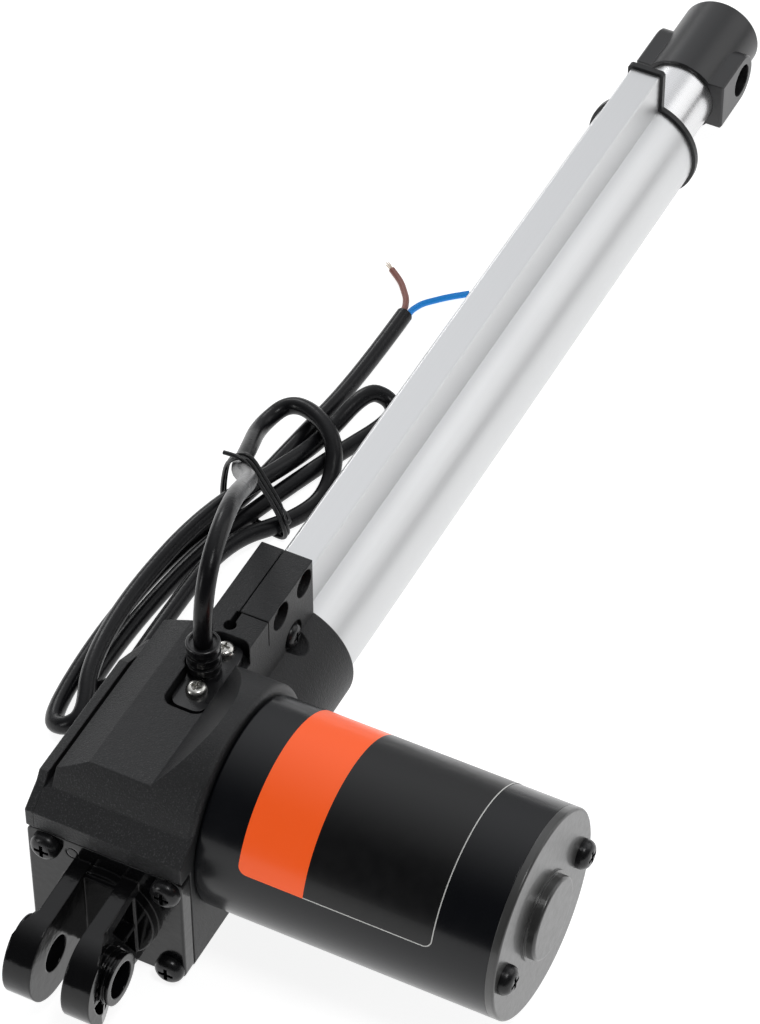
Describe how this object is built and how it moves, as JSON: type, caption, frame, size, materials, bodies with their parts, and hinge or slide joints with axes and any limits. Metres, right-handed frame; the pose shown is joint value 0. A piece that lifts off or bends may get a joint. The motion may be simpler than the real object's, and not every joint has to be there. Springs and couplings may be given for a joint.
{
  "type": "electric linear actuator",
  "caption": "Electric linear actuator with a side-mounted motor, worm gearbox, rear clevis, extruded tube, sliding rod with cross-drilled end and a tied power cord.",
  "frame": {"origin": "centre of the rear pivot hole, midway between the two clevis ears", "axes": "+X along the rod towards its cross-drilled end, +Y along the pivot holes and away from the motor, +Z towards the cable gland"},
  "size_m": [0.4087, 0.1654, 0.0913],
  "materials": {
    "black_paint": "gloss",
    "black_nylon": "fine texture",
    "satin_aluminium": "satin anodised",
    "bright_aluminium": "bright satin",
    "black_metal": "satin black",
    "black_plastic": "matte",
    "end_casting": "satin",
    "black_screw": "black oxide",
    "bright_screw": "zinc plated",
    "steel": "ground",
    "bronze": "machined",
    "nut_plastic": "acetal",
    "board_green": "coated",
    "carbon": "sintered",
    "rubber": "moulded",
    "cord_pvc": "satin PVC",
    "brown_pvc": "PVC",
    "blue_pvc": "PVC"
  },
  "bodies": {
    "housing": {"rear_bracket": "black_paint", "motor_can": "black_paint", "gearbox_housing": "black_nylon", "gearbox_cover": "black_nylon", "outer_tube": "satin_aluminium", "tube_end_cap": "black_plastic", "rod_wiper": "black_plastic", "brush_holder": "black_plastic", "limit_switches": "black_plastic", "guide_bush": "black_plastic", "motor_end_plate": "end_casting", "rear_bracket_screws": "black_screw", "cover_screws": "black_screw", "collar_clamp_screws": "black_screw", "tube_lock_screw": "black_screw", "motor_bolts": "black_screw", "motor_end_screws": "black_screw", "gland_screws": "bright_screw", "rear_thrust_bearing": "steel", "front_spindle_bearing": "steel", "motor_front_bearing": "steel", "motor_front_plate": "steel", "worm_end_bush": "bronze", "motor_rear_bush": "bronze", "switch_board": "board_green", "carbon_brushes": "carbon", "motor_magnets": "carbon", "cable_gland": "rubber", "power_cord": "cord_pvc", "cord_tie": "cord_pvc", "brown_core": "brown_pvc", "blue_core": "blue_pvc"},
    "spindle": {"lead_screw": "steel", "screw_end_stop": "steel", "worm_wheel": "bronze", "wheel_cross_pin": "steel", "rear_sleeve": "steel", "front_sleeve": "steel"},
    "rotor": {"rotor_shaft": "steel", "worm": "steel", "armature_core": "steel", "armature_windings": "bronze", "commutator": "bronze"},
    "rod": {"drive_nut": "nut_plastic", "inner_tube": "bright_aluminium", "nut_pins": "steel", "rod_end": "black_metal"}
  },
  "joints": [
    {"name": "motor_spin", "type": "hinge", "parent": "housing", "child": "rotor", "pos_m": [0.0532, 0, 0.0167], "axis": [0, -1, 0], "range_deg": [0, 576000]},
    {"name": "spindle_spin", "type": "hinge", "parent": "housing", "child": "spindle", "pos_m": [0, 0, 0], "axis": [-1, 0, 0], "range_deg": [0, 18000]},
    {"name": "rod_slide", "type": "slide", "parent": "housing", "child": "rod", "axis": [1, 0, 0], "range_m": [0, 0.2]}
  ],
  "couplings": [
    {"joint": "spindle_spin", "follows": "motor_spin", "ratio": 0.03125},
    {"joint": "rod_slide", "follows": "motor_spin", "m_per_rad": 0.000019894}
  ]
}
